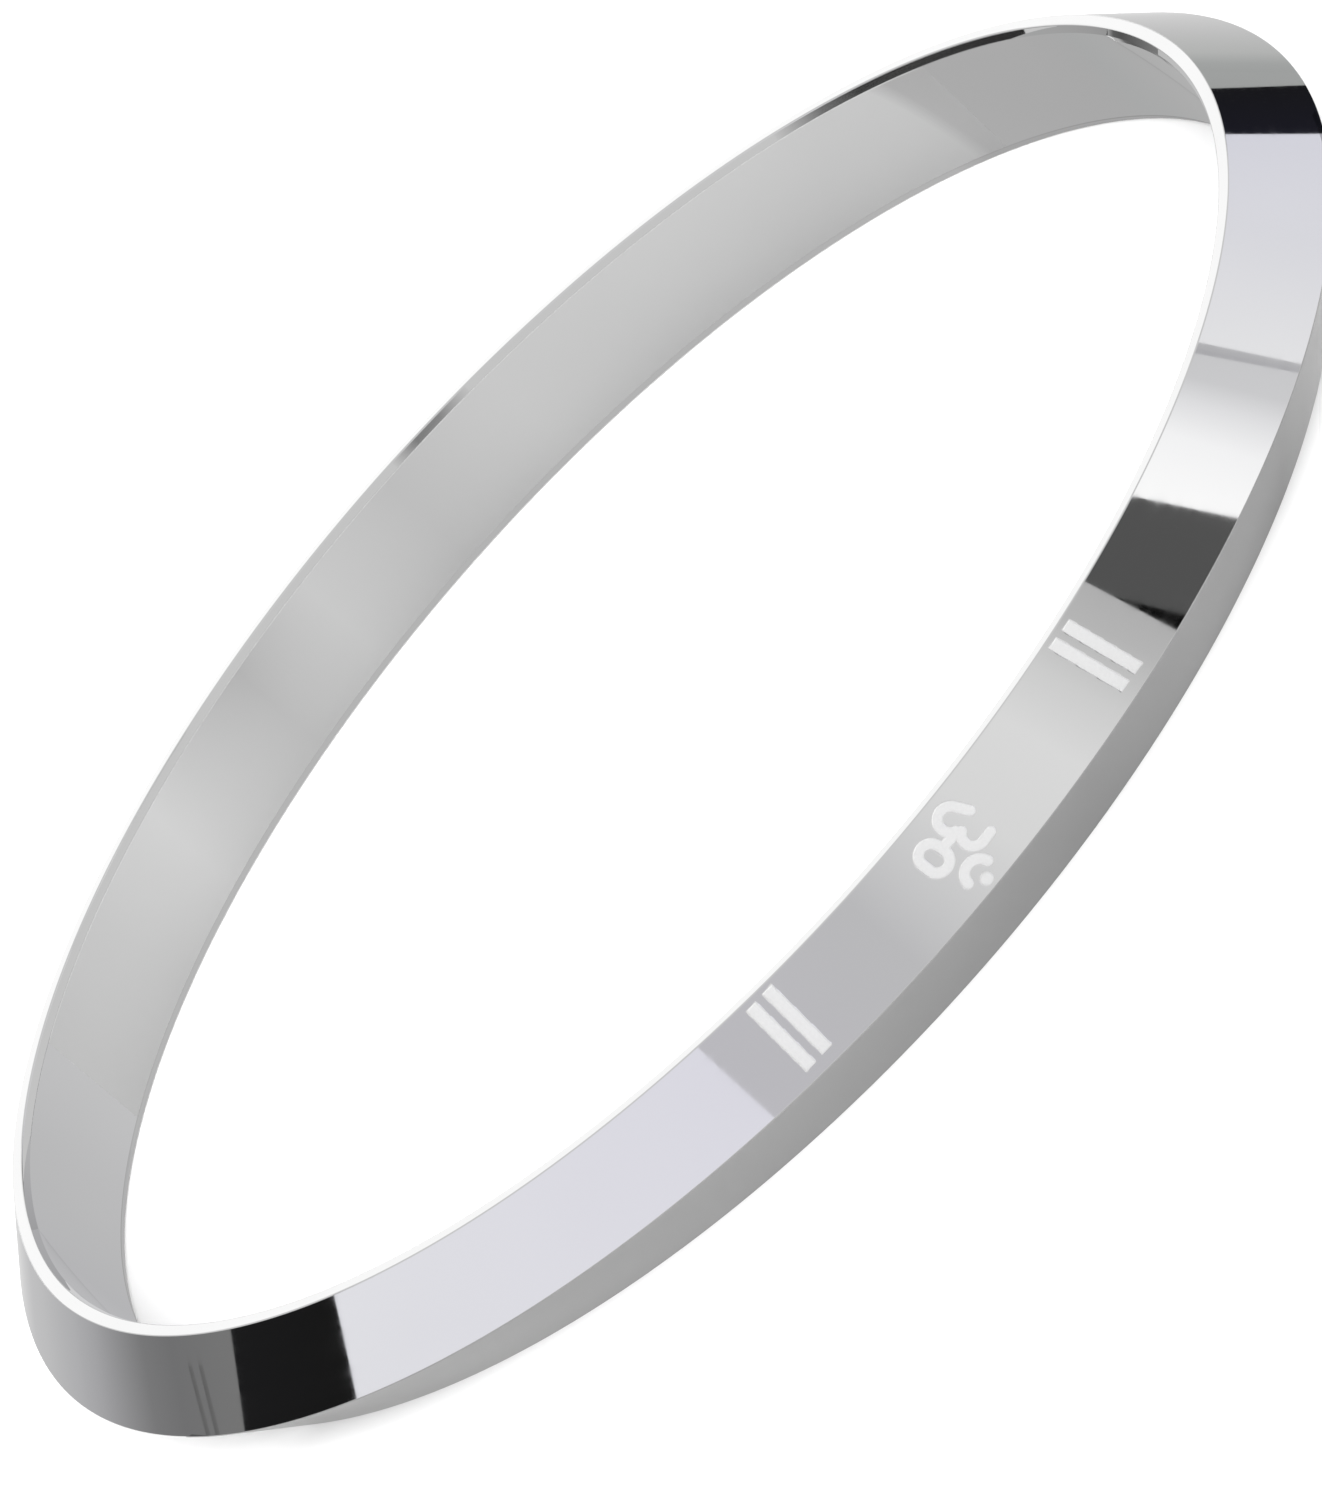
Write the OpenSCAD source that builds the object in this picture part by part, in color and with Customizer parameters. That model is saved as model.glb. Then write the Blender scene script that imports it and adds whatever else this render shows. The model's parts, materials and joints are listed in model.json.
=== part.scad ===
// Kada: a one-piece solid steel bangle, lying on its lower rim.
// The bore is a plain cylinder with eased edges, the two rims are narrow and
// flat, and the outside is two bevels that meet in a ridge at mid-height.
// The upper bevel carries etched marks: a pair of lines, a sign, a pair of lines.
// The origin is on the ring's axis, at the level of the lower rim.

/* [Wrist opening] */
// Inside diameter of the bangle; 66.7 is size 2-10, two and ten sixteenths inches
inner_d = 66.7; // [48:0.1:80]

/* [Band] */
// Height of the band, from rim to rim
band_h = 6.1; // [5:0.1:12]
// Breadth of the band at each rim, from the bore to the bevel
rim_w = 0.68; // [0.6:0.02:2]
// How far the ridge stands out past the rims
ridge_rise = 2.72; // [1.5:0.02:5]
// How far the bore's eased edges reach across each rim
ease_w = 0.16; // [0.06:0.02:0.3]
// How far the eased edges reach down the bore
ease_h = 0.36; // [0.2:0.02:0.8]
// Rounding of the edges of the rims and of the bore
rim_round = 0.1; // [0.04:0.01:0.12]
// Rounding of the ridge
ridge_round = 0.06; // [0.04:0.01:0.4]

/* [Etched marks] */
// Where the sign stands round the ring, in degrees from +X
sign_angle = -84.3; // [-180:0.1:180]
// Clear metal between the sign and the bevel's upper edge
sign_gap_rim = 0.34; // [0.2:0.02:0.6]
// Clear metal between the sign and the ridge
sign_gap_ridge = 0.2; // [0.2:0.02:0.6]
// Width of the sign's strokes
stroke_w = 0.38; // [0.2:0.02:0.4]
// Distance along the band from the sign's middle to the middle of each pair of lines
pair_offset = 9.1; // [6:0.1:16]
// Distance between the middles of the two lines of a pair
line_pitch = 0.88; // [0.7:0.02:1.5]
// Width of each line
line_w = 0.48; // [0.2:0.02:0.6]
// How far each pair leans away from the sign towards the rim, in degrees
line_lean = 3.5; // [0:0.5:8]
// Clear metal between a line's end and the bevel's upper edge
line_gap_rim = 0.28; // [0.2:0.02:0.8]
// Clear metal between a line's end and the ridge
line_gap_ridge = 0.56; // [0.3:0.02:1.2]
// Depth of the etching
etch_depth = 0.12; // [0.05:0.01:0.2]

/* [Hidden] */

bore_r = inner_d / 2;
rim_r = bore_r + rim_w;
ridge_r = rim_r + ridge_rise;
ridge_z = band_h / 2;

// The upper bevel runs from the ridge in to the rim's outer edge
bevel_len = norm([ridge_rise, ridge_z]);
bevel_tilt = atan2(ridge_rise, ridge_z);
bevel_mid_r = (rim_r + ridge_r) / 2;
bevel_mid_z = band_h * 3 / 4;

sign_h = bevel_len - sign_gap_rim - sign_gap_ridge;
sign_shift = (sign_gap_ridge - sign_gap_rim) / 2;
line_len = bevel_len - line_gap_rim - line_gap_ridge;
line_shift = (line_gap_ridge - line_gap_rim) / 2;
pair_angle = pair_offset / bevel_mid_r * 180 / PI;

// How far the cutting shapes reach into the metal and out of it
reach = 2 * etch_depth + 0.2;
// Turn between two points of a rounded outline, in degrees
turn_step = 15;
$fn = 180;

// Corners of the half section as [radius, height, rounding], anticlockwise
SECTION = [
    [bore_r + ease_w, 0, rim_round],
    [rim_r, 0, rim_round],
    [ridge_r, ridge_z, ridge_round],
    [rim_r, band_h, rim_round],
    [bore_r + ease_w, band_h, rim_round],
    [bore_r, band_h - ease_h, rim_round],
    [bore_r, ease_h, rim_round],
];

// The sign, as shares of its height, upright and with its middle at the origin
// Curved strokes, [middle, radius, first angle, last angle]: the three's two bowls and the crescent
SIGN_ARCS = [
    [[-0.207, -0.287], 0.142, -155, 62],
    [[-0.234, 0.006], 0.132, -65, 100],
    [[0.056, 0.331], 0.160, 188, 350],
];
// Straight strokes, [first end, last end]: the bowls' tips and the link to the three's tail
SIGN_BARS = [
    [[-0.336, -0.347], [-0.407, -0.185]],
    [[-0.257, 0.136], [-0.364, 0.130]],
    [[-0.120, -0.150], [0.092, -0.155]],
];
// The curled tail, [lower middle, upper middle, radius]
SIGN_TAIL = [[0.222, -0.205], [0.222, -0.110], 0.130];
// The dot, [middle, radius]
SIGN_DOT = [[0.053, 0.424], 0.068];

function direction(angle) = [cos(angle), sin(angle)];

function heading(a, b) = atan2(b[1] - a[1], b[0] - a[0]);

// Points along an arc, whichever way it turns
function arc_points(middle, radius, from, to) =
    let (steps = ceil(abs(to - from) / turn_step))
    [for (i = [0:steps]) middle + radius * direction(from + (to - from) * i / steps)];

// Points of the arc that rounds corner c of an anticlockwise outline, between its neighbours a and b
function rounded_corner(a, c, b) =
    let (
        from = heading(a, c) - 90,
        turn = (heading(c, b) - heading(a, c) + 360) % 360,
        middle = [c[0], c[1]] - direction(from + turn / 2) * c[2] / cos(turn / 2)
    )
    arc_points(middle, c[2], from, from + turn);

// Outline of a round-ended stroke bent along an arc
function curved_stroke(middle, radius, from, to, width) =
    let (
        first = middle + radius * direction(from),
        last = middle + radius * direction(to)
    )
    concat(
        arc_points(middle, radius + width / 2, from, to),
        arc_points(last, width / 2, to, to + 180),
        arc_points(middle, radius - width / 2, to, from),
        arc_points(first, width / 2, from + 180, from + 360)
    );

// Outline of a round-ended stroke from a to b
function straight_stroke(a, b, width) =
    let (along = heading(a, b))
    concat(
        arc_points(a, width / 2, along + 90, along + 270),
        arc_points(b, width / 2, along - 90, along + 90)
    );

module band_section() {
    last = len(SECTION) - 1;
    polygon([
        for (i = [0:last])
            each rounded_corner(
                SECTION[i == 0 ? last : i - 1],
                SECTION[i],
                SECTION[i == last ? 0 : i + 1]
            )
    ]);
}

// Stands its children on the upper bevel: X along the band, Y up the bevel, Z out of the metal
module on_bevel(angle) {
    rotate([0, 0, angle])
        translate([bevel_mid_r, 0, bevel_mid_z])
            rotate([0, -bevel_tilt, 0])
                rotate([90, 0, 90])
                    children();
}

// A thin skin that follows the bevel: from the etching's floor out into the air
module etched_skin() {
    inward = etch_depth / cos(bevel_tilt);
    outward = reach / cos(bevel_tilt);
    rotate_extrude()
        polygon([
            [ridge_r - inward, ridge_z],
            [ridge_r + outward, ridge_z],
            [rim_r + outward, band_h],
            [rim_r - inward, band_h],
        ]);
}

// Turns an outline that lies on the bevel into a cutter that passes through its surface
module cutter(outline) {
    translate([0, 0, -reach])
        linear_extrude(2 * reach)
            polygon(outline);
}

// The Om sign: a three with a curled tail, and a crescent with a dot over it
module sign() {
    for (s = SIGN_ARCS)
        cutter(curved_stroke(s[0] * sign_h, s[1] * sign_h, s[2], s[3], stroke_w));
    for (s = SIGN_BARS)
        cutter(straight_stroke(s[0] * sign_h, s[1] * sign_h, stroke_w));
    tail = SIGN_TAIL * sign_h;
    difference() {
        cutter(straight_stroke(tail[0], tail[1], 2 * tail[2] + stroke_w));
        cutter(straight_stroke(tail[0], tail[1], 2 * tail[2] - stroke_w));
    }
    dot = SIGN_DOT * sign_h;
    translate(dot[0])
        cylinder(r = dot[1], h = 2 * reach, center = true);
}

module line_pair() {
    for (side = [-1, 1])
        translate([side * line_pitch / 2, line_shift, 0])
            cube([line_w, line_len, 2 * reach], center = true);
}

// The sign's head points down to the ridge
module marks() {
    on_bevel(sign_angle)
        translate([0, sign_shift, 0])
            rotate([0, 0, 180])
                sign();
    for (side = [-1, 1])
        on_bevel(sign_angle + side * pair_angle)
            rotate([0, 0, -side * line_lean])
                line_pair();
}

module bangle() {
    color("silver")
        difference() {
            rotate_extrude()
                band_section();
            intersection() {
                etched_skin();
                marks();
            }
        }
}

bangle();
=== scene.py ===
"""A kada as it lies by itself: one closed ring of polished stainless steel with etched marks.

The ring is one section swept round an axis. The script works out that section, sweeps it and sinks
the etched marks into the upper bevel. Polished steel shows little of its own and much of what
stands round it, so its reflections are painted: cards and tinted sheets that only reflections show,
and that light nothing, paint its highlights, its dark reflections and the shade in the paper that
it shows. They are placed by following the lens's line of sight off the steel.

Lengths are millimetres inside the classes and metres once they reach Blender.
"""
import json
import logging
import math
from dataclasses import dataclass
from enum import Enum

import bpy
import numpy as np
from mathutils import Matrix, Vector


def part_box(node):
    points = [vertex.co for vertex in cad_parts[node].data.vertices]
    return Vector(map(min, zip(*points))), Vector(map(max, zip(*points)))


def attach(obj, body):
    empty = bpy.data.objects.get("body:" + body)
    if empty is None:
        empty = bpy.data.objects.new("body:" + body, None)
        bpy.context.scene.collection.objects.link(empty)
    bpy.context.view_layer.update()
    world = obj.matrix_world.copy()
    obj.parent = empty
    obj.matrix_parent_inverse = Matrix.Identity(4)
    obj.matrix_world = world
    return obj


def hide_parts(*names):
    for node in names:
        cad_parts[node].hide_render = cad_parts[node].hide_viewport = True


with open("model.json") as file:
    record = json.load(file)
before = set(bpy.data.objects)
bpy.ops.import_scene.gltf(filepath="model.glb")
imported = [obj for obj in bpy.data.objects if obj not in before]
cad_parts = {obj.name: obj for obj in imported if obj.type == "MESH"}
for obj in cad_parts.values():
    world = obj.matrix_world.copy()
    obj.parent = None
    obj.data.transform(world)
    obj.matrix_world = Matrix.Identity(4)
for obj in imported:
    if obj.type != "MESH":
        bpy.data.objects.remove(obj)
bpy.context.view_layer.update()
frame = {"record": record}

MM = 0.001
BODY = "root"
NODE = "bangle"
log = logging.getLogger("kada")


def linear(colour: str) -> tuple[float, float, float, float]:
    """Turns an sRGB colour to linear light.

    Args:
        colour: The colour as "#RRGGBB".

    Returns:
        Red, green, blue and a full alpha, as shader sockets take them.
    """
    shares = [int(colour[start : start + 2], 16) / 255 for start in (1, 3, 5)]
    light = [s / 12.92 if s <= 0.04045 else ((s + 0.055) / 1.055) ** 2.4 for s in shares]
    return (*light, 1.0)


def add_node(
    tree: bpy.types.NodeTree, kind: str, inputs: dict | None = None, **settings: object
) -> bpy.types.Node:
    """Adds one node to a tree, with its settings and links.

    Args:
        tree: The tree of a material or the world.
        kind: The node's type, without the "ShaderNode" that each type's name starts with.
        inputs: Socket name or number to its value, or to the output that feeds it.
        settings: The node's own properties.

    Returns:
        The new node.
    """
    node = tree.nodes.new("ShaderNode" + kind)
    for name, value in settings.items():
        setattr(node, name, value)
    for socket, value in (inputs or {}).items():
        if isinstance(value, bpy.types.NodeSocket):
            tree.links.new(value, node.inputs[socket])
        else:
            node.inputs[socket].default_value = value
    return node


def new_material(name: str) -> bpy.types.Material:
    """Returns a material with an empty node tree."""
    material = bpy.data.materials.new(name)
    material.use_nodes = True
    material.node_tree.nodes.clear()
    return material


def smoothstep(share: np.ndarray) -> np.ndarray:
    """Returns the smooth ramp from 0 to 1 over the shares 0 to 1."""
    held = np.clip(share, 0.0, 1.0)
    return held * held * (3.0 - 2.0 * held)


def heading(start: tuple[float, float], end: tuple[float, float]) -> float:
    """Returns the direction from one point to another, in degrees from the first axis."""
    return math.degrees(math.atan2(end[1] - start[1], end[0] - start[0]))


def direction(degrees: float) -> np.ndarray:
    """Returns the unit vector at an angle in a plane."""
    return np.array([math.cos(math.radians(degrees)), math.sin(math.radians(degrees))])


class Face(Enum):
    """The flat faces of the band's section, in the order in which the outline meets them."""

    LOWER_RIM = 0
    LOWER_BEVEL = 1
    UPPER_BEVEL = 2
    UPPER_RIM = 3
    UPPER_EASE = 4
    BORE = 5
    LOWER_EASE = 6


@dataclass(frozen=True)
class BandSizes:
    """Sizes of the band's section.

    Attributes:
        bore_r: Radius of the wrist opening.
        ridge_r: Radius at which the two bevels would meet if the ridge were sharp.
        height: Height of the band from rim to rim.
        rim_w: Breadth of the band at each rim, from the bore to the bevel.
        ease_w: How far the bore's eased edges reach across the rim.
        ease_h: How far they reach down the bore.
        rim_round: Rounding of the edges beside the rims.
        ridge_round: Rounding of the ridge.
    """

    bore_r: float
    ridge_r: float
    height: float
    rim_w: float = 0.68
    ease_w: float = 0.16
    ease_h: float = 0.36
    rim_round: float = 0.1
    ridge_round: float = 0.06

    @classmethod
    def from_frame(cls) -> "BandSizes":
        """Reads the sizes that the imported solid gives: its opening, its height and its reach."""
        low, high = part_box(NODE)
        mounts = {mount["name"]: mount for mount in frame["record"]["mounts"]}
        bore_r = mounts["wrist_opening"]["dims"]["r_mm"]
        height = (high.z - low.z) / MM
        reach = (high.x - low.x) / 2 / MM
        sharp = reach
        # The rounding keeps the solid a little short of the sharp ridge, by how steep the bevels
        # are. Four rounds settle it.
        for _ in range(4):
            lean = math.atan2(sharp - bore_r - cls.rim_w, height / 2)
            sharp = reach + cls.ridge_round * (1 / math.cos(lean) - 1)
        return cls(bore_r=bore_r, ridge_r=sharp, height=height)

    @property
    def rim_r(self) -> float:
        """Outer radius of the flat rims."""
        return self.bore_r + self.rim_w

    @property
    def ridge_rise(self) -> float:
        """How far the ridge stands out past the rims."""
        return self.ridge_r - self.rim_r

    @property
    def bevel_length(self) -> float:
        """Length of a bevel from the ridge to the rim's outer edge."""
        return math.hypot(self.ridge_rise, self.height / 2)

    @property
    def bevel_tilt(self) -> float:
        """How far a bevel leans in from upright, in radians."""
        return math.atan2(self.ridge_rise, self.height / 2)

    @property
    def bevel_middle(self) -> tuple[float, float]:
        """Radius and height of the middle of the upper bevel."""
        return (self.rim_r + self.ridge_r) / 2, self.height * 3 / 4

    @property
    def corners(self) -> list[tuple[float, float, float]]:
        """Radius, height and rounding of each corner of the section, anticlockwise."""
        return [
            (self.bore_r + self.ease_w, 0.0, self.rim_round),
            (self.rim_r, 0.0, self.rim_round),
            (self.ridge_r, self.height / 2, self.ridge_round),
            (self.rim_r, self.height, self.rim_round),
            (self.bore_r + self.ease_w, self.height, self.rim_round),
            (self.bore_r, self.height - self.ease_h, self.rim_round),
            (self.bore_r, self.ease_h, self.rim_round),
        ]


@dataclass(frozen=True)
class EtchedMarks:
    """The marks on the upper bevel: a pair of lines, the Om sign and a second pair of lines.

    A point of the bevel is given along the band, and up the bevel from its middle to the rim.

    Attributes:
        sizes: The band that carries the marks.
        sign_angle: Where the sign stands round the ring, in degrees.
        sign_gap_rim: Clear metal between the sign and the rim.
        sign_gap_ridge: Clear metal between the sign and the ridge.
        stroke_w: Width of the sign's strokes.
        pair_offset: Distance along the band from the sign to each pair of lines.
        line_pitch: Distance between the two lines of a pair.
        line_w: Width of a line.
        line_gap_rim: Clear metal between a line's end and the rim.
        line_gap_ridge: Clear metal between a line's end and the ridge.
        line_lean: How far each pair leans away from the sign towards the rim, in degrees.
        depth: Depth of the etching.
        edge: Width over which the etching's edge falls.
        frost_reach: How far past a mark's outline the steel is still a little matt, as a share of
            the edge.
        margin: How far past a mark the mesh stays fine, as a share of the edge.
    """

    sizes: BandSizes
    sign_angle: float = -84.3
    sign_gap_rim: float = 0.34
    sign_gap_ridge: float = 0.2
    stroke_w: float = 0.38
    pair_offset: float = 9.1
    line_pitch: float = 0.88
    line_w: float = 0.48
    line_gap_rim: float = 0.28
    line_gap_ridge: float = 0.56
    line_lean: float = 3.5
    depth: float = 0.04
    edge: float = 0.07
    frost_reach: float = 0.8
    margin: float = 4.0
    # The sign upright, in shares of its height with its middle at the origin.
    # Curved strokes are [middle, radius, first angle, last angle]: the three's bowls, the crescent.
    arcs: tuple = (
        ((-0.207, -0.287), 0.142, -155, 62),
        ((-0.234, 0.006), 0.132, -65, 100),
        ((0.056, 0.331), 0.160, 188, 350),
    )
    # Straight strokes are [first end, last end]: the bowls' tips, the link to the three's tail.
    bars: tuple = (
        ((-0.336, -0.347), (-0.407, -0.185)),
        ((-0.257, 0.136), (-0.364, 0.130)),
        ((-0.120, -0.150), (0.092, -0.155)),
    )
    # The curled tail is [lower middle, upper middle, radius], and the dot [middle, radius].
    tail: tuple = ((0.222, -0.205), (0.222, -0.110), 0.130)
    dot: tuple = ((0.053, 0.424), 0.068)

    @property
    def sign_height(self) -> float:
        """Height of the sign."""
        return self.sizes.bevel_length - self.sign_gap_rim - self.sign_gap_ridge

    @property
    def pair_angle(self) -> float:
        """Angle round the ring from the sign to each pair of lines, in degrees."""
        return math.degrees(self.pair_offset / self.sizes.bevel_middle[0])

    def windows(self) -> list[tuple[float, float]]:
        """Returns the middle and half width, in degrees, of each stretch that holds a mark."""
        room = self.margin * self.edge
        middle_r = self.sizes.bevel_middle[0]
        sign_half = math.degrees((self.sign_height / 2 + room) / middle_r)
        pair_half = math.degrees((self.line_pitch / 2 + self.line_w / 2 + room) / middle_r)
        return [
            (self.sign_angle - self.pair_angle, pair_half),
            (self.sign_angle, sign_half),
            (self.sign_angle + self.pair_angle, pair_half),
        ]

    @staticmethod
    def to_arc(
        at: np.ndarray, middle: np.ndarray, radius: float, first: float, last: float
    ) -> np.ndarray:
        """Measures the distance from points to an arc.

        Args:
            at: Points, one a row.
            middle: The arc's middle.
            radius: Its radius.
            first: The angle at which it starts, in degrees.
            last: The angle at which it ends, anticlockwise from the first.

        Returns:
            The distance of each point.
        """
        away = at - middle
        turned = (np.degrees(np.arctan2(away[:, 1], away[:, 0])) - first) % 360
        beside = np.abs(np.hypot(away[:, 0], away[:, 1]) - radius)
        ends = [np.linalg.norm(away - radius * direction(end), axis=1) for end in (first, last)]
        return np.where(turned <= last - first, beside, np.minimum(*ends))

    @staticmethod
    def to_segment(at: np.ndarray, first: np.ndarray, last: np.ndarray) -> np.ndarray:
        """Measures the distance from points to a straight segment.

        Args:
            at: Points, one a row.
            first: One end of the segment.
            last: The other end.

        Returns:
            The distance of each point.
        """
        run = last - first
        share = np.clip((at - first) @ run / (run @ run), 0.0, 1.0)
        return np.linalg.norm(at - first - share[:, None] * run, axis=1)

    def outside_sign(self, at: np.ndarray) -> np.ndarray:
        """Returns how far points lie outside the sign's strokes, negative inside them."""
        shift = np.array([0.0, (self.sign_gap_ridge - self.sign_gap_rim) / 2])
        # The sign's head points down to the ridge, so it is read with both axes turned round
        at = shift - at
        tall = self.sign_height
        half = self.stroke_w / 2
        gaps = [
            self.to_arc(at, tall * np.array(middle), tall * radius, first, last) - half
            for middle, radius, first, last in self.arcs
        ]
        gaps += [
            self.to_segment(at, tall * np.array(first), tall * np.array(last)) - half
            for first, last in self.bars
        ]
        low, high, curl = self.tail
        spine = self.to_segment(at, tall * np.array(low), tall * np.array(high))
        gaps.append(np.abs(spine - tall * curl) - half)
        dot_middle, dot_r = self.dot
        gaps.append(np.linalg.norm(at - tall * np.array(dot_middle), axis=1) - tall * dot_r)
        return np.minimum.reduce(gaps)

    def outside_pair(self, at: np.ndarray, side: int) -> np.ndarray:
        """Measures how far points lie outside a pair of lines.

        Args:
            at: Points, one a row, from the middle of the bevel.
            side: Which pair: -1 before the sign, 1 after it.

        Returns:
            The distance of each point, negative inside a line.
        """
        length = self.sizes.bevel_length - self.line_gap_rim - self.line_gap_ridge
        shift = (self.line_gap_ridge - self.line_gap_rim) / 2
        upright = direction(side * self.line_lean)
        turned = at @ np.array([[upright[0], upright[1]], [-upright[1], upright[0]]])
        across = np.abs(np.abs(turned[:, 0]) - self.line_pitch / 2) - self.line_w / 2
        along = np.abs(turned[:, 1] - shift) - length / 2
        outer = np.hypot(np.maximum(across, 0), np.maximum(along, 0))
        return outer + np.minimum(np.maximum(across, along), 0)

    def outside(self, angle: np.ndarray, climb: np.ndarray) -> np.ndarray:
        """Measures how far points of the upper bevel lie outside every mark.

        Args:
            angle: Ring angle of each point, in degrees.
            climb: How far each point lies up the bevel from its middle, towards the rim.

        Returns:
            The distance of each point, negative inside a mark.
        """
        middle_r = self.sizes.bevel_middle[0]
        lean = self.sizes.bevel_tilt
        outside = np.full(angle.shape, np.inf)
        for side, (middle, half) in zip((-1, 0, 1), self.windows()):
            turn = np.radians(angle - middle)
            near = np.abs(angle - middle) < half
            radius = middle_r - climb[near] * math.sin(lean)
            sunk = radius * np.cos(turn[near]) - middle_r
            along = radius * np.sin(turn[near])
            up = climb[near] * math.cos(lean) * math.cos(lean) - sunk * math.sin(lean)
            at = np.stack([along, up], axis=1)
            outside[near] = self.outside_pair(at, side) if side else self.outside_sign(at)
        return outside

    def depth_at(self, angle: np.ndarray, climb: np.ndarray) -> np.ndarray:
        """Returns how deep the upper bevel is etched at each point."""
        return self.depth * smoothstep(0.5 - self.outside(angle, climb) / self.edge)

    def frost_at(self, angle: np.ndarray, climb: np.ndarray) -> np.ndarray:
        """Returns how matt each point is, from 0 to 1: the acid also dulls the etching's walls."""
        return smoothstep(self.frost_reach - self.outside(angle, climb) / self.edge)


@dataclass(frozen=True)
class PolishedSteel:
    """Stainless steel 304, turned and then buffed to a mirror, with marks left matt by acid.

    Steel takes back a little over half of the light, evenly over the colours. Buffing leaves
    hairlines round the ring and long shallow waves, so that the edges of what it shows are not
    quite straight. Etched steel is the same metal with a fine matt grain. It spreads the light of
    the whole white room, and its colour is set lighter than the polish so that it looks nearly
    white.

    Attributes:
        mirror: Colour of the polished steel.
        dulled: Colour of the polish where handling has dulled it.
        frost: Colour of the etched steel.
        mirror_rough: Least and greatest roughness of the polish.
        frost_rough: Least and greatest roughness of the etching.
        hairline: Spacing of the hairlines. Real ones are some hundredths of a millimetre apart,
            too fine to show, so they are drawn several times as coarse.
        hairline_run: Length of a hairline round the ring.
        hairline_slope: How steep a hairline's side is.
        hairline_cone: How much a millimetre away from the axis counts beside one upwards, where
            the hairlines are laid side by side.
        wave: Length of the buffing waves.
        wave_slope: How steep they are.
        grain: Size of the etched grain, drawn coarser than the real hundredths of a millimetre.
        grain_slope: How steep the grain is.
        noise_low: Where the stretch begins in which a noise texture mostly stays.
        noise_high: Where it ends.
        noise_swing: How far it swings to each side of its middle, as a share of its whole range.
    """

    mirror: str = "#C4C4C4"
    dulled: str = "#C1C1C1"
    frost: str = "#E8E8E8"
    mirror_rough: tuple[float, float] = (0.02, 0.04)
    frost_rough: tuple[float, float] = (0.5, 0.62)
    hairline: float = 0.24
    hairline_run: float = 11.0
    hairline_slope: float = 0.0006
    hairline_cone: float = 0.3
    wave: float = 5.0
    wave_slope: float = 0.0005
    grain: float = 0.11
    grain_slope: float = 0.12
    noise_low: float = 0.3
    noise_high: float = 0.7
    noise_swing: float = 0.25

    def reflectance(self, facing: float) -> float:
        """Works out the share of the light that the polished steel takes back.

        Args:
            facing: Cosine of the angle between the line of sight and the surface's normal.

        Returns:
            The share, which rises to 1 at a glancing angle.
        """
        share = linear(self.mirror)[1]
        return share + (1.0 - share) * (1.0 - facing) ** 5

    def bump_height(self, slope: float, length: float) -> float:
        """Works out how high a noise has to be drawn for its sides to be as steep as given.

        Args:
            slope: How steep the sides are.
            length: Length of a bump, in millimetres.

        Returns:
            The height of the noise's whole range, in metres. A wave swings to each side by its
            slope times its length over a full turn.
        """
        return slope * length * MM / (2 * math.pi) / self.noise_swing

    def build(self) -> bpy.types.Material:
        """Builds the material, which reads the mesh's etched attribute."""
        material = new_material("polished_stainless_steel")
        tree = material.node_tree
        etched = add_node(tree, "Attribute", attribute_name="etched").outputs["Fac"]
        place = add_node(tree, "TexCoord").outputs["Object"]
        parts = add_node(tree, "SeparateXYZ", {0: place}).outputs
        flat = add_node(tree, "CombineXYZ", {"X": parts["X"], "Y": parts["Y"]}).outputs[0]
        radius = add_node(tree, "VectorMath", {0: flat}, operation="LENGTH").outputs["Value"]
        # Hairlines are level rings on both bevels, the bore and the rims: this sum changes across
        # each of these faces
        across = add_node(
            tree,
            "Math",
            {0: radius, 1: self.hairline_cone, 2: parts["Z"]},
            operation="MULTIPLY_ADD",
        ).outputs[0]
        rings = add_node(
            tree, "CombineXYZ", {"X": parts["X"], "Y": parts["Y"], "Z": across}
        ).outputs[0]
        run = 1 / (self.hairline_run * MM)
        stretch = (run, run, 1 / (self.hairline * MM))
        rings = add_node(
            tree, "VectorMath", {0: rings, 1: stretch}, operation="MULTIPLY"
        ).outputs[0]
        hairlines = add_node(tree, "TexNoise", {"Vector": rings, "Scale": 1.0, "Detail": 2.0})
        waves = add_node(
            tree, "TexNoise", {"Vector": place, "Scale": 1 / (self.wave * MM), "Detail": 0.0}
        )
        grain = add_node(
            tree, "TexNoise", {"Vector": place, "Scale": 1 / (self.grain * MM), "Detail": 1.0}
        )
        polish, frost = (
            add_node(
                tree,
                "MapRange",
                {0: noise.outputs[0], 1: self.noise_low, 2: self.noise_high, 3: least, 4: most},
            ).outputs[0]
            for noise, (least, most) in ((hairlines, self.mirror_rough), (grain, self.frost_rough))
        )
        rough = add_node(tree, "Mix", {0: etched, 2: polish, 3: frost}).outputs[0]
        # Handling dulls the polish a little in patches, which shows as a faint change of tone
        dulled = add_node(
            tree,
            "Mix",
            {0: waves.outputs[0], 6: linear(self.mirror), 7: linear(self.dulled)},
            data_type="RGBA",
        ).outputs[2]
        colour = add_node(
            tree, "Mix", {0: etched, 6: dulled, 7: linear(self.frost)}, data_type="RGBA"
        ).outputs[2]
        clear = add_node(tree, "Math", {0: 1.0, 1: etched}, operation="SUBTRACT").outputs[0]
        # Waves run over all of the steel, hairlines over the polish and grain over the etching
        below = {}
        for noise, strength, slope, length in (
            (waves, 1.0, self.wave_slope, self.wave),
            (hairlines, clear, self.hairline_slope, self.hairline),
            (grain, etched, self.grain_slope, self.grain),
        ):
            bump = {"Strength": strength, "Distance": self.bump_height(slope, length)}
            bump["Height"] = noise.outputs[0]
            below = {"Normal": add_node(tree, "Bump", bump | below).outputs[0]}
        steel = add_node(
            tree,
            "BsdfPrincipled",
            {"Base Color": colour, "Metallic": 1.0, "Roughness": rough} | below,
        )
        add_node(tree, "OutputMaterial", {"Surface": steel.outputs[0]})
        return material


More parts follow.
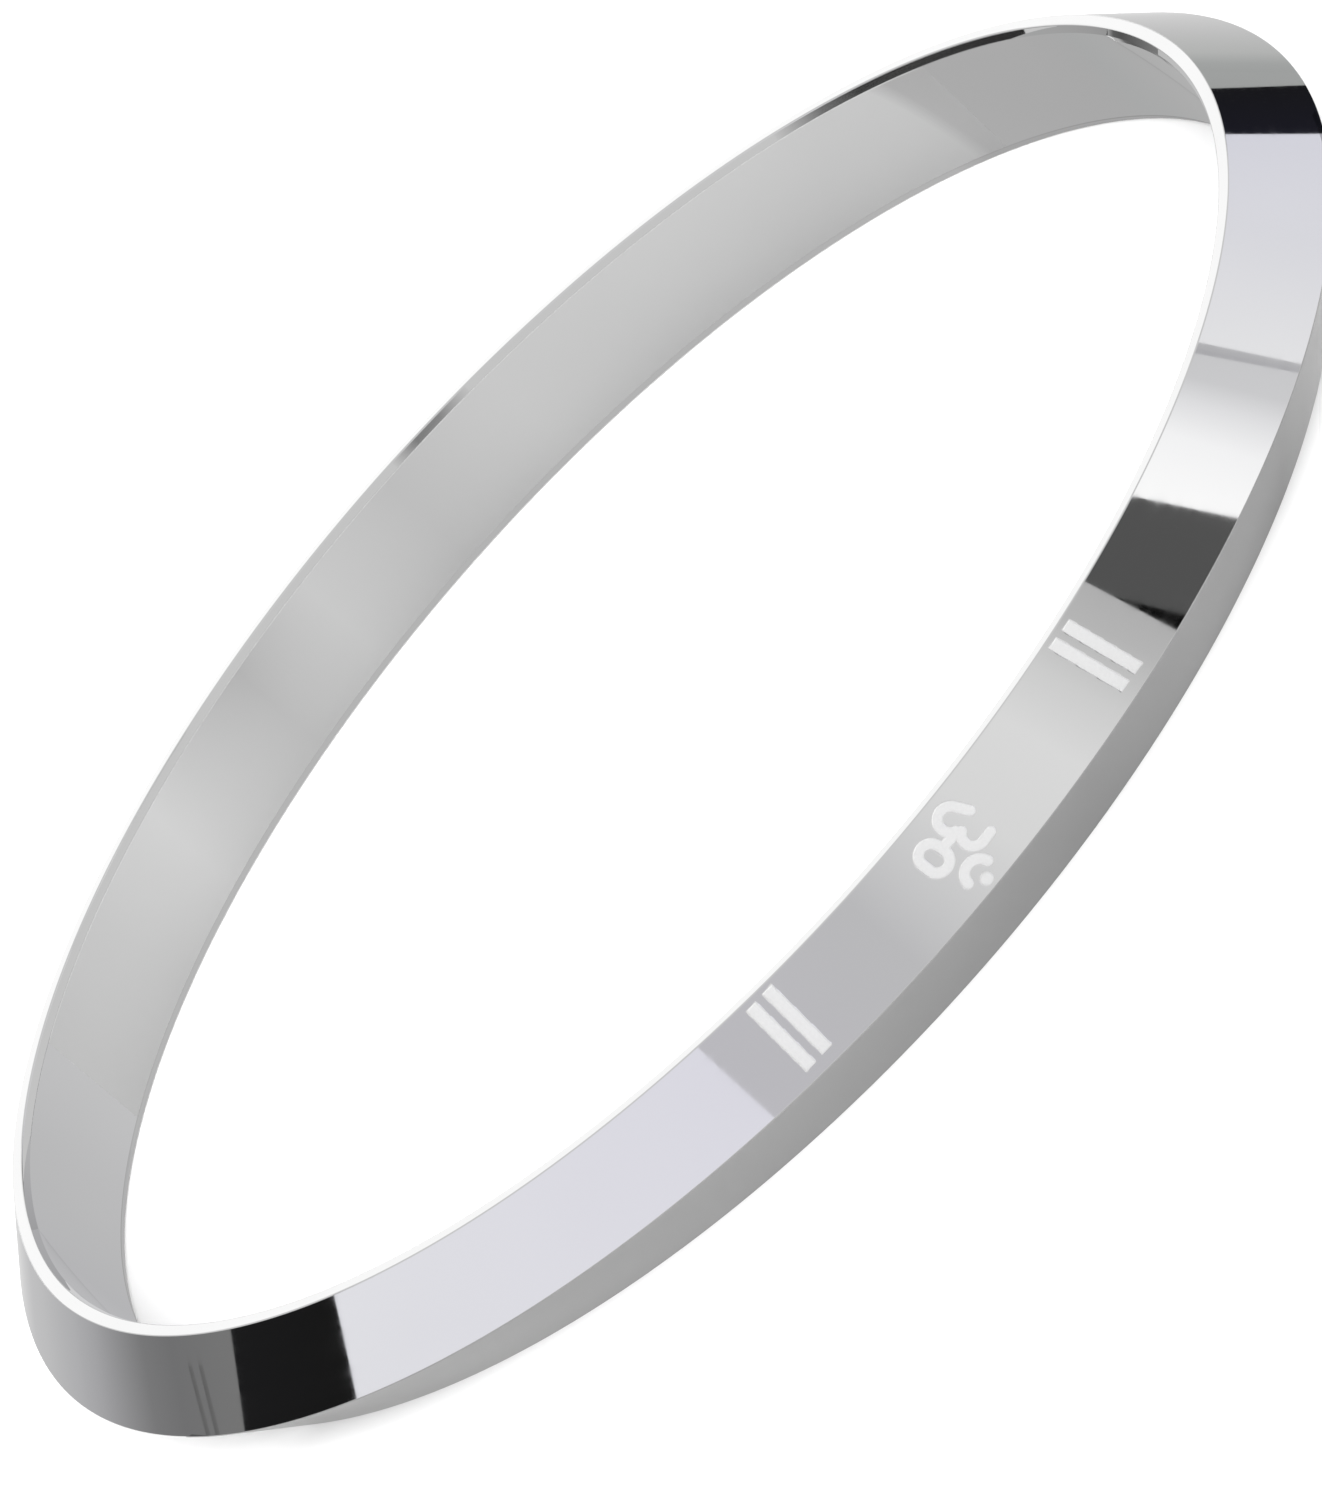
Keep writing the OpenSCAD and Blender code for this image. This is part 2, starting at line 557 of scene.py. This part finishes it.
@dataclass
class KadaBand:
    """The bangle's one piece: a closed band with the marks sunk into its upper bevel.

    Attributes:
        sizes: The section's sizes.
        marks: The etched marks.
        finish: The steel.
        column_step: Angle between two columns on clear metal, in degrees.
        fine_step: Distance between columns and rows where a mark is.
        round_steps: Steps round each rounded corner.
        narrow_rows: Rows across a narrow face.
        broad_rows: Rows across a broad face without marks.
        slope_step: Distance over which the etching's slope is measured, as a share of its edge.
    """

    sizes: BandSizes
    marks: EtchedMarks
    finish: PolishedSteel
    column_step: float = 1.0
    fine_step: float = 0.045
    round_steps: int = 6
    narrow_rows: int = 2
    broad_rows: int = 8
    slope_step: float = 1 / 16

    def section(self) -> tuple[np.ndarray, np.ndarray, np.ndarray]:
        """Works out the closed outline of the section.

        Returns:
            Radius and height of each point, the outward direction there, and how far the point
            lies up the upper bevel from its middle, or nan elsewhere.
        """
        rows = {face: self.narrow_rows for face in Face}
        rows[Face.LOWER_BEVEL] = rows[Face.BORE] = self.broad_rows
        rows[Face.UPPER_BEVEL] = round(self.sizes.bevel_length / self.fine_step)
        corners = self.sizes.corners
        middle_r, middle_z = self.sizes.bevel_middle
        lean = self.sizes.bevel_tilt
        arcs = []
        for index, (radius, height, rounding) in enumerate(corners):
            before = corners[index - 1]
            after = corners[(index + 1) % len(corners)]
            inward = heading(before[:2], (radius, height))
            turn = (heading((radius, height), after[:2]) - inward) % 360
            reach = rounding / math.cos(math.radians(turn / 2))
            middle = np.array([radius, height]) - direction(inward - 90 + turn / 2) * reach
            steps = range(self.round_steps + 1)
            facing = [inward - 90 + turn * step / self.round_steps for step in steps]
            out = np.array([direction(angle) for angle in facing])
            arcs.append((middle + rounding * out, out))
        points, outward, climb = [], [], []
        for face in Face:
            arc, out = arcs[face.value]
            next_arc, _ = arcs[(face.value + 1) % len(arcs)]
            shares = np.arange(1, rows[face])[:, None] / rows[face]
            points += [arc, arc[-1] + (next_arc[0] - arc[-1]) * shares]
            outward += [out, np.repeat(out[-1:], rows[face] - 1, axis=0)]
            flat = (points[-1] - [middle_r, middle_z]) @ [-math.sin(lean), math.cos(lean)]
            if face is not Face.UPPER_BEVEL:
                flat = np.full(len(flat), np.nan)
            climb += [np.full(len(arc), np.nan), flat]
        return np.concatenate(points), np.concatenate(outward), np.concatenate(climb)

    def columns(self) -> np.ndarray:
        """Returns the ring angle of each column, closer together where a mark is."""
        fine = math.degrees(self.fine_step / self.sizes.bevel_middle[0])
        windows = self.marks.windows()
        angles = [
            angle
            for angle in np.arange(-180.0, 180.0, self.column_step)
            if all(abs(angle - middle) > half for middle, half in windows)
        ]
        for middle, half in windows:
            angles += list(np.linspace(middle - half, middle + half, round(2 * half / fine)))
        return np.array(sorted(angles))

    def surface(self) -> tuple[np.ndarray, np.ndarray, np.ndarray]:
        """Sweeps the section and sinks the marks.

        Returns:
            For each column and row, the point, its normal, and how matt the etching makes it.
        """
        outline, outward, climb = self.section()
        angle, rise = np.meshgrid(self.columns(), climb, indexing="ij")
        turn = np.radians(angle)
        round_it = np.stack([np.cos(turn), np.sin(turn), np.zeros_like(turn)], axis=-1)
        up = np.array([0.0, 0.0, 1.0])
        points = outline[None, :, :1] * round_it + outline[None, :, 1:] * up
        normals = outward[None, :, :1] * round_it + outward[None, :, 1:] * up
        bevel = ~np.isnan(rise)
        angle, rise = angle[bevel], rise[bevel]
        frost = np.zeros(bevel.shape)
        frost[bevel] = self.marks.frost_at(angle, rise)
        sunk = np.zeros(bevel.shape)
        sunk[bevel] = self.marks.depth_at(angle, rise)
        # The etching's walls turn the normal by the depth's slope, along the band and up the bevel
        nudge = self.marks.edge * self.slope_step
        turned = math.degrees(nudge / self.sizes.bevel_middle[0])
        slopes = []
        for aside, above in ((turned, 0.0), (0.0, nudge)):
            ahead = self.marks.depth_at(angle + aside, rise + above)
            behind = self.marks.depth_at(angle - aside, rise - above)
            slopes.append((ahead - behind) / (2 * nudge))
        lean = self.sizes.bevel_tilt
        along = np.stack([-np.sin(turn), np.cos(turn), np.zeros_like(turn)], axis=-1)[bevel]
        uphill = (-math.sin(lean) * round_it + math.cos(lean) * up)[bevel]
        points = points - sunk[..., None] * normals
        normals[bevel] += slopes[0][:, None] * along + slopes[1][:, None] * uphill
        normals /= np.linalg.norm(normals, axis=-1, keepdims=True)
        return points, normals, frost

    def build(self) -> bpy.types.Object:
        """Builds the band's mesh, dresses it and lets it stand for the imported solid."""
        points, normals, frost = self.surface()
        columns, rows = frost.shape
        index = np.arange(columns * rows).reshape(columns, rows)
        ahead = np.roll(index, -1, axis=0)
        faces = np.stack(
            [index, ahead, np.roll(ahead, -1, axis=1), np.roll(index, -1, axis=1)], axis=-1
        )
        mesh = bpy.data.meshes.new("kada_band")
        mesh.from_pydata((points * MM).reshape(-1, 3), [], faces.reshape(-1, 4))
        mesh.polygons.foreach_set("use_smooth", np.ones(len(mesh.polygons), bool))
        etched = mesh.attributes.new("etched", "FLOAT", "POINT")
        etched.data.foreach_set("value", frost.reshape(-1).astype(np.float32))
        mesh.materials.append(self.finish.build())
        mesh.update()
        mesh.normals_split_custom_set_from_vertices(normals.reshape(-1, 3))
        band = bpy.data.objects.new("kada_band", mesh)
        bpy.context.scene.collection.objects.link(band)
        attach(band, BODY)
        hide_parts(NODE)
        log.info("kada_band: %d columns, %d rows, %d faces", columns, rows, len(mesh.polygons))
        return band


@dataclass(frozen=True)
class Viewpoint:
    """The camera, at the photograph's angle to the bangle and turned on its side as there.

    Attributes:
        eye: Where the lens stands.
        pan: Turn to the left, in degrees.
        pitch: Tilt up from straight down, in degrees.
        roll: Turn about the line of sight, in degrees.
        lens: Focal length.
        sensor: Longer side of the sensor.
        clip: Nearest and farthest distance that the camera sees, in metres.
    """

    eye: tuple[float, float, float] = (0.0, -320.08, 135.77)
    pan: float = 0.2076
    pitch: float = 67.21
    roll: float = -48.24
    lens: float = 203.7
    sensor: float = 36.0
    clip: tuple[float, float] = (0.01, 20.0)

    def build(self) -> bpy.types.Object:
        """Makes the camera and gives it to the scene."""
        data = bpy.data.cameras.new("studio_camera")
        data.lens = self.lens
        data.sensor_fit = "AUTO"
        data.sensor_width = self.sensor
        data.clip_start, data.clip_end = self.clip
        camera = bpy.data.objects.new("studio_camera", data)
        turn = Matrix.Rotation(math.radians(self.pan), 4, "Z")
        turn = turn @ Matrix.Rotation(math.radians(self.pitch), 4, "X")
        turn = turn @ Matrix.Rotation(math.radians(self.roll), 4, "Z")
        camera.matrix_world = Matrix.Translation(Vector(self.eye) * MM) @ turn
        bpy.context.scene.collection.objects.link(camera)
        bpy.context.scene.camera = camera
        log.info("camera at %s mm", self.eye)
        return camera


@dataclass(frozen=True)
class Glance:
    """A line of sight as it leaves the steel.

    Attributes:
        point: Where it meets the steel.
        way: Direction in which it leaves.
        facing: Cosine of its angle to the surface's normal.
    """

    point: np.ndarray
    way: np.ndarray
    facing: float

    def to_dome(self, radius: float) -> np.ndarray:
        """Returns where it meets a dome about the origin."""
        along = self.point @ self.way
        length = math.sqrt(along * along - self.point @ self.point + radius**2) - along
        return self.point + self.way * length

    def towards_floor(self, share: float, farthest: float) -> np.ndarray:
        """Follows it part of the way to the floor.

        Args:
            share: The share of the way.
            farthest: How long the way is taken to be at most, as a level line never gets there.

        Returns:
            The point reached.
        """
        drop = max(-self.way[2], self.point[2] / farthest)
        return self.point + self.way * (share * self.point[2] / drop)


@dataclass(frozen=True)
class SightLines:
    """Follows lines of sight from the lens and off the steel.

    Attributes:
        eye: Where the lens stands.
        sizes: The band that the lines meet.
    """

    eye: np.ndarray
    sizes: BandSizes

    def off(self, face: Face, angle: float, share: float) -> Glance:
        """Follows the line of sight off one face of the band.

        Args:
            face: The face that it meets.
            angle: Ring angle at which it meets the face, in degrees.
            share: How far down the face it does so: 0 at its upper edge, 1 at its lower edge.

        Returns:
            The line as it leaves the steel.
        """
        corners = [np.array(corner[:2]) for corner in self.sizes.corners]
        first, last = corners[face.value], corners[(face.value + 1) % len(corners)]
        facing = direction(heading(first, last) - 90)
        upper, lower = (first, last) if first[1] > last[1] else (last, first)
        radius, height = upper + (lower - upper) * share
        point = np.array([*(radius * direction(angle)), height])
        normal = np.array([*(facing[0] * direction(angle)), facing[1]])
        sight = self.eye - point
        sight = sight / np.linalg.norm(sight)
        return Glance(point, 2 * (normal @ sight) * normal - sight, normal @ sight)


@dataclass(frozen=True)
class Card:
    """A bent card that paints a highlight or a dark reflection into the steel, and what the steel
    shows of it. Only reflections show it, and it lights nothing.

    Attributes:
        name: Plain name.
        stops: Along the card: the ring angle at which its edge or change of tone shows, and the
        painted tone that the steel shows there. Where it leans, its angle beside the face's lower
        edge stands after the angle beside the upper one.
        face: The face that shows it.
        span: How far down the face its upper and lower edges show, as shares of the face. Most
            cards go on far past the face, so that their edges never show.
        near: Where it stands, as a share of the way from the steel to the floor, if it isn't on
            the dome.
    """

    name: str
    stops: tuple[tuple[float, str] | tuple[float, float, str], ...]
    face: Face = Face.UPPER_BEVEL
    span: tuple[float, float] = (-4.0, 5.0)
    near: float | None = None


@dataclass(frozen=True)
class PaintedShade:
    """A tinted sheet close to the steel, which paints shade over the paper that the steel shows.

    Attributes:
        name: Plain name.
        face: The face that shows it.
        stops: Along the sheet: the ring angle at which it shows beside the face's upper edge, the
            angle beside the lower edge, and the share of the light that it passes at each.
        span: How far down the face its upper and lower edges show, as shares of the face.
        near: Where it stands, as a share of the way from the steel to the floor.
    """

    name: str
    face: Face
    stops: tuple[tuple[float, float, float, float], ...]
    span: tuple[float, float] = (0.0, 1.0)
    near: float = 0.3


@dataclass
class CardStudio:
    """Sheets round the bangle that paint its highlights, dark reflections and reflected shade.
    Only its reflections show them, and they light nothing.

    Attributes:
        lines: The lines of sight that place them.
        finish: The steel, whose reflectance sets how bright each card has to be.
        dome: Distance of the first card.
        spacing: How much farther off each next card stands, so that none cuts another.
        bend: Ring angle between two bends of a card, in degrees.
        farthest: Length that the way to the floor is taken to be at most.
        rim_highlight_glow: Glow of the sheet behind the bangle that paints the bright highlight
            along the upper rim.
        back_azimuths: Sides between which that painted highlight stands, in degrees.
        back_elevations: How high its lower and its upper edge stand, in degrees.
        back_columns: Columns of corners along it.
        cards: The painted reflections, in order of their distance where they stand on the dome.
        painted_shades: The tinted sheets that paint shade into the paper that the steel shows.
    """

    lines: SightLines
    finish: PolishedSteel
    dome: float = 600.0
    spacing: float = 3.0
    bend: float = 0.5
    farthest: float = 40.0
    rim_highlight_glow: float = 1.62
    back_azimuths: tuple[float, float] = (62.0, 118.0)
    back_elevations: tuple[float, float] = (13.0, 33.0)
    back_columns: int = 12
    cards: tuple[Card, ...] = (
        # Painted dark reflections on the dome, for the upper eased edge
        Card(
            "edge_flag",
            ((20.0, "#2A2A2A"), (40.0, "#363636"), (44.0, "#6C6C6C"), (49.0, "#C0C0C0")),
            Face.UPPER_EASE,
        ),
        Card(
            "edge_strip",
            ((81.5, "#C0C0C0"), (84.5, "#868686"), (87.0, "#7C7C7C"), (89.5, "#C0C0C0")),
            Face.UPPER_EASE,
        ),
        # A painted reflection right beside the lower eased edge, closer than a real card could
        # stand
        Card(
            "lower_edge",
            ((2.0, "#A0A0A0"), (35.0, "#A4A4A4"), (39.0, "#B2B2B2"), (130.0, "#B6B6B6"),
             (178.0, "#AEAEAE")),
            Face.LOWER_EASE, (-0.3, 0.8), near=0.2,
        ),
        # Painted reflections within three millimetres of the bore at its ends, which would else
        # show the far side of the bore many times over
        Card(
            "end_flag",
            ((-4.0, "#8C8C8C"), (0.0, "#747474"), (4.0, "#585858"), (5.5, "#646464"),
             (6.5, "#A8A8A8")),
            Face.BORE, (-0.17, 0.05), near=0.1,
        ),
        Card(
            "left_strip",
            ((172.0, "#B5B5B7"), (187.5, "#BCBCBE")),
            Face.BORE, (-0.17, 0.05), near=0.1,
        ),
        Card(
            "right_end",
            ((-7.5, "#B2B2B2"), (6.0, "#ADADAD"), (14.0, "#A9AAAA"), (18.0, "#AAAAAA")),
            Face.BORE, (-0.49, 1.0), near=0.28,
        ),
        Card(
            "right_wall",
            ((18.0, "#AAAAAA"), (33.0, "#ACACAC")),
            Face.BORE, (-0.25, 1.0), near=0.28,
        ),
        Card(
            "left_wall",
            ((147.0, "#C1C1C2"), (152.0, "#BEBEBF"), (158.0, "#BBBBBC"), (163.0, "#B9B9BA")),
            Face.BORE, (-0.25, 1.0), near=0.28,
        ),
        Card(
            "left_end",
            ((163.0, "#B9B9BA"), (174.0, "#B5B5B7"), (187.5, "#BCBCBE")),
            Face.BORE, (-0.49, 1.0), near=0.28,
        ),
        # Painted reflections just over the floor behind the last four, for the sight that slips
        # past them
        Card(
            "right_back",
            ((-1.0, "#B0B0B0"), (7.5, "#ADADAD")),
            Face.BORE, (0.0, 1.0), near=0.95,
        ),
        Card(
            "left_back",
            ((172.5, "#B5B5B7"), (181.0, "#B8B8BA")),
            Face.BORE, (0.0, 1.0), near=0.95,
        ),
        # Painted reflections within seven millimetres of the upper bevel's ends
        Card(
            "left_paper",
            ((-200.0, "#F2F2F2"), (-192.0, "#DCDCDC"), (-184.0, "#C1C1C2"), (-180.0, "#BDBDBE"),
             (-172.0, "#AEAEB0"), (-170.5, "#A9A9AB")),
            span=(-0.1, 1.1), near=0.3,
        ),
        Card(
            "right_paper",
            ((-10.4, "#9EA09F"), (-8.6, "#A2A4A3"), (-6.0, "#B3B4B3"), (0.0, "#C0C0C0"),
             (8.0, "#D0D0D0"), (20.0, "#F2F2F2")),
            span=(-0.1, 1.1), near=0.3,
        ),
        # Painted highlights and dark reflections round the room, from the left end of the upper
        # bevel to its right end
        Card(
            "left_rod",
            ((-154.4, -153.7, "#5C5C5C"), (-153.9, -153.2, "#686868")),
            span=(0.3, 5.0),
        ),
        Card(
            "right_rod",
            ((-153.0, -152.6, "#5C5C5C"), (-152.5, -152.1, "#686868")),
            span=(0.3, 5.0),
        ),
        Card(
            "left_grey",
            ((-172.0, "#AEAEB0"), (-168.0, "#A2A2A4"), (-160.0, "#787879"), (-156.0, "#707071"),
             (-148.2, -149.3, "#757575")),
        ),
        Card("left_flag", ((-148.2, -149.3, "#1B1B1C"), (-137.0, -138.0, "#171717"))),
        Card("long_softbox", ((-137.0, -138.0, "#E0E0E5"), (-104.2, -103.2, "#DBDAE3"))),
        Card(
            "front_grey",
            ((-104.2, -103.2, "#BBBABF"), (-91.0, "#BABABC"), (-82.0, "#D7D7D7"),
             (-76.0, "#D9D9D9"), (-72.0, "#CDCDCD"), (-68.0, "#B6B6B6"), (-65.4, -65.8, "#B0B0B0")),
        ),
        Card("grey_flag", ((-65.9, -64.7, "#515151"), (-58.4, -57.3, "#515151"))),
        # A painted dark line in the reflection, between front_grey and grey_flag
        Card("dark_slit", ((-66.4, "#080808"), (-64.2, "#080808"))),
        Card(
            "bright_softbox",
            ((-58.4, -57.3, "#FCFCFC"), (-53.0, "#F3F3F4"), (-50.0, "#DEDEE0"), (-48.0, "#CACACC"),
             (-45.9, -45.5, "#C8C8CA")),
        ),
        Card("softbox_seam", ((-45.9, -45.5, "#A9A9AC"), (-45.0, -44.9, "#B4B4B6"))),
        Card(
            "right_softbox",
            ((-45.0, -44.9, "#E3E3E5"), (-33.0, "#D8D8DE"), (-21.3, -20.3, "#D4D4DD")),
        ),
        Card("right_flag", ((-21.3, -20.3, "#1A1A22"), (-13.8, -12.7, "#18181B"))),
        Card("right_grey", ((-13.8, -12.7, "#9EA09F"), (-9.0, "#A0A2A1"))),
    )
    painted_shades: tuple[PaintedShade, ...] = (
        # Tinted sheets that paint shade into the paper that the lower bevel and the bore show
        PaintedShade(
            "lower_gel",
            Face.LOWER_BEVEL,
            ((-152.0, -152.0, 0.50, 0.60), (-132.0, -132.0, 0.45, 0.63),
             (-104.0, -104.0, 0.54, 0.57), (-76.0, -76.0, 0.48, 0.49),
             (-64.0, -64.0, 0.51, 0.56), (-50.0, -50.0, 0.43, 0.53),
             (-38.0, -38.0, 0.54, 0.81), (-23.0, -23.0, 0.60, 0.82)),
            span=(-0.6, 1.0),
        ),
        PaintedShade(
            "inner_gel",
            Face.BORE,
            ((32.0, 32.0, 0.50, 0.56), (37.5, 34.6, 0.51, 0.56), (39.5, 36.2, 0.69, 0.66),
             (62.0, 62.0, 0.71, 0.65), (80.0, 80.0, 0.68, 0.69), (91.0, 91.0, 0.61, 0.63),
             (101.0, 101.0, 0.70, 0.72), (109.5, 109.5, 0.53, 0.68), (123.0, 123.0, 0.77, 0.78),
             (133.0, 133.0, 0.69, 0.72), (148.0, 148.0, 0.63, 0.68)),
        ),
    )

    @staticmethod
    def blend(stops: tuple, bend: float) -> list[tuple]:
        """Adds stops between those of a card, so that it bends smoothly.

        Args:
            stops: The card's stops as rows of numbers, of which the first is a ring angle.
            bend: Ring angle between two bends, in degrees.

        Returns:
            The rows with those that lie between them.
        """
        rows = []
        for first, last in zip(stops[:-1], stops[1:]):
            steps = max(1, math.ceil(abs(last[0] - first[0]) / bend))
            start = 1 if rows else 0
            change = np.array(last) - first
            rows += [first + change * step / steps for step in range(start, steps + 1)]
        return rows

    def material(self, name: str, kind: str) -> bpy.types.Material:
        """Returns the glow or tint that paints reflections, coloured by their mesh's tone
        attribute.

        Args:
            name: The material's plain name.
            kind: The shader node's type.

        Returns:
            The material, made once.
        """
        material = bpy.data.materials.get(name)
        if material is None:
            material = new_material(name)
            tree = material.node_tree
            tone = add_node(tree, "Attribute", attribute_name="tone").outputs["Color"]
            shader = add_node(tree, kind, {"Color": tone})
            add_node(tree, "OutputMaterial", {"Surface": shader.outputs[0]})
        return material

    @staticmethod
    def stand(
        name: str, points: list, tones: list, material: bpy.types.Material
    ) -> bpy.types.Object:
        """Stands a sheet where only reflections show it, to paint light or shade into the steel.

        Args:
            name: Its plain name.
            points: Its corners as columns of an upper and a lower one, in millimetres.
            tones: The light that each corner gives off or passes.
            material: What it is made of.

        Returns:
            The sheet.
        """
        corners = np.array(points) * MM
        columns, rows = corners.shape[:2]
        index = np.arange(columns * rows).reshape(columns, rows)
        faces = np.stack([index[:-1, :-1], index[1:, :-1], index[1:, 1:], index[:-1, 1:]], axis=-1)
        mesh = bpy.data.meshes.new(name)
        mesh.from_pydata(corners.reshape(-1, 3), [], faces.reshape(-1, 4))
        tone = mesh.attributes.new("tone", "FLOAT_COLOR", "POINT")
        tone.data.foreach_set("color", np.array(tones).reshape(-1).astype(np.float32))
        mesh.materials.append(material)
        sheet = bpy.data.objects.new(name, mesh)
        bpy.context.scene.collection.objects.link(sheet)
        # Hidden from the lens, from diffuse light and from shadows, so the sheet only paints
        # reflections
        for kind in ("camera", "diffuse", "transmission", "volume_scatter", "shadow"):
            setattr(sheet, "visible_" + kind, False)
        return sheet

    def build_card(self, card: Card, dome: float) -> bpy.types.Object:
        """Bends one painted reflection along the path that its face shows.

        Args:
            card: The card.
            dome: Its distance.

        Returns:
            The card's object.
        """
        # A stop that doesn't lean gives one angle, which counts for both edges
        stops = [(stop[0], stop[-2], *linear(stop[-1])) for stop in card.stops]
        points, tones = [], []
        for upper, lower, *shown in self.blend(stops, self.bend):
            edges = (self.lines.off(card.face, upper, 0.0), self.lines.off(card.face, lower, 1.0))
            if card.near is None:
                above, below = (edge.to_dome(dome) for edge in edges)
            else:
                above, below = (edge.towards_floor(card.near, self.farthest) for edge in edges)
            points.append([above + (below - above) * share for share in card.span])
            # The card glows at the painted tone over the steel's reflectance, so the steel shows
            # that tone
            share = self.finish.reflectance((edges[0].facing + edges[1].facing) / 2)
            tones.append([(*(np.array(shown[:3]) / share), 1.0)] * 2)
        return self.stand(card.name, points, tones, self.material("card_light", "Emission"))

    def build_painted_shade(self, painted_shade: PaintedShade) -> bpy.types.Object:
        """Bends one sheet of painted shade so that it follows the face that shows it."""
        points, tones = [], []
        for upper, lower, passed_above, passed_below in self.blend(painted_shade.stops, self.bend):
            edges = (self.lines.off(painted_shade.face, upper, 0.0), self.lines.off(painted_shade.face, lower, 1.0))
            above, below = (edge.towards_floor(painted_shade.near, self.farthest) for edge in edges)
            points.append([above + (below - above) * share for share in painted_shade.span])
            tones.append([(*[passed] * 3, 1.0) for passed in (passed_above, passed_below)])
        return self.stand(painted_shade.name, points, tones, self.material("gel_film", "BsdfTransparent"))

    def build_painted_rim_highlight(self) -> bpy.types.Object:
        """Stands the sheet behind the bangle that paints the bright highlight along the upper rim.
        """
        points = [
            [
                self.dome * np.array([*(math.cos(rise) * direction(azimuth)), math.sin(rise)])
                for rise in np.radians(self.back_elevations)
            ]
            for azimuth in np.linspace(*self.back_azimuths, self.back_columns)
        ]
        # A painted highlight: the sheet glows only in reflections and lights nothing
        tones = [[(*[self.rim_highlight_glow] * 3, 1.0)] * 2] * len(points)
        return self.stand("back_softbox", points, tones, self.material("card_light", "Emission"))

    def build(self) -> None:
        """Stands all the sheets that paint the steel's reflections."""
        for number, card in enumerate(self.cards):
            self.build_card(card, self.dome + self.spacing * number)
            log.info("card %s: %d stops", card.name, len(card.stops))
        for painted_shade in self.painted_shades:
            self.build_painted_shade(painted_shade)
            log.info("gel %s: %d stops", painted_shade.name, len(painted_shade.stops))
        self.build_painted_rim_highlight()
        # Logs the sheet that paints the upper rim's highlight
        log.info("back softbox")


@dataclass(frozen=True)
class PaperFloor:
    """A wide sheet of matt white paper, which is what the bangle lies on.

    Attributes:
        half_width: Half the width of the sheet.
        colour: Colour of the paper.
        roughness: Roughness of the paper.
        gloss: Specular level of the paper, which has next to none.
    """

    half_width: float = 3000.0
    colour: str = "#F6F6F6"
    roughness: float = 0.9
    gloss: float = 0.2

    def build(self) -> bpy.types.Object:
        """Lays the sheet at the height of the bangle's lower rim."""
        reach = self.half_width * MM
        signs = ((-1, -1), (1, -1), (1, 1), (-1, 1))
        corners = [(reach * across, reach * along, 0.0) for across, along in signs]
        mesh = bpy.data.meshes.new("paper_floor")
        mesh.from_pydata(corners, [], [(0, 1, 2, 3)])
        material = new_material("matt_white_paper")
        tree = material.node_tree
        paper = add_node(
            tree,
            "BsdfPrincipled",
            {
                "Base Color": linear(self.colour),
                "Roughness": self.roughness,
                "Specular IOR Level": self.gloss,
            },
        )
        add_node(tree, "OutputMaterial", {"Surface": paper.outputs[0]})
        mesh.materials.append(material)
        floor = bpy.data.objects.new("paper_floor", mesh)
        bpy.context.scene.collection.objects.link(floor)
        log.info("floor: %d mm wide", round(2 * self.half_width))
        return floor


@dataclass(frozen=True)
class SoftLight:
    """The studio's light: an even white room and a wide lamp over the camera.

    The lamp hangs over the camera, so that the band hides most of its own shadow.

    Attributes:
        horizon: Light of the room at the height of the floor.
        zenith: Light of the room overhead.
        lamp_strength: Light that the lamp sends down.
        lamp_angle: How wide the lamp looks from the floor, in degrees.
        lamp_azimuth: Side on which it hangs, in degrees.
        lamp_elevation: How high it hangs, in degrees.
    """

    horizon: float = 0.98
    zenith: float = 1.05
    lamp_strength: float = 4.5
    lamp_angle: float = 40.0
    lamp_azimuth: float = -92.0
    lamp_elevation: float = 30.0

    def build(self) -> None:
        """Lights the room and hangs the lamp."""
        world = bpy.data.worlds.new("white_room")
        bpy.context.scene.world = world
        world.use_nodes = True
        tree = world.node_tree
        tree.nodes.clear()
        way = add_node(tree, "TexCoord").outputs["Generated"]
        height = add_node(tree, "SeparateXYZ", {0: way}).outputs["Z"]
        strength = add_node(
            tree, "MapRange", {0: height, 1: 0.0, 2: 1.0, 3: self.horizon, 4: self.zenith}
        ).outputs[0]
        room = add_node(tree, "Background", {"Color": (1.0, 1.0, 1.0, 1.0), "Strength": strength})
        add_node(tree, "OutputWorld", {"Surface": room.outputs[0]})
        data = bpy.data.lights.new("wide_lamp", "SUN")
        data.energy = self.lamp_strength
        data.angle = math.radians(self.lamp_angle)
        lamp = bpy.data.objects.new("wide_lamp", data)
        tilt = Matrix.Rotation(math.radians(90 - self.lamp_elevation), 4, "Y")
        lamp.matrix_world = Matrix.Rotation(math.radians(self.lamp_azimuth), 4, "Z") @ tilt
        lamp.visible_glossy = False
        bpy.context.scene.collection.objects.link(lamp)
        bpy.context.scene.view_settings.view_transform = "Standard"
        log.info("lamp at %d degrees, %d up", round(self.lamp_azimuth), round(self.lamp_elevation))


def main() -> None:
    """Builds the bangle, its studio and the camera, in that order."""
    logging.basicConfig(level=logging.INFO, format="%(name)s: %(message)s")
    sizes = BandSizes.from_frame()
    steel = PolishedSteel()
    KadaBand(sizes, EtchedMarks(sizes), steel).build()
    viewpoint = Viewpoint()
    viewpoint.build()
    PaperFloor().build()
    SoftLight().build()
    CardStudio(SightLines(np.array(viewpoint.eye), sizes), steel).build()


if __name__ == "__main__":
    main()
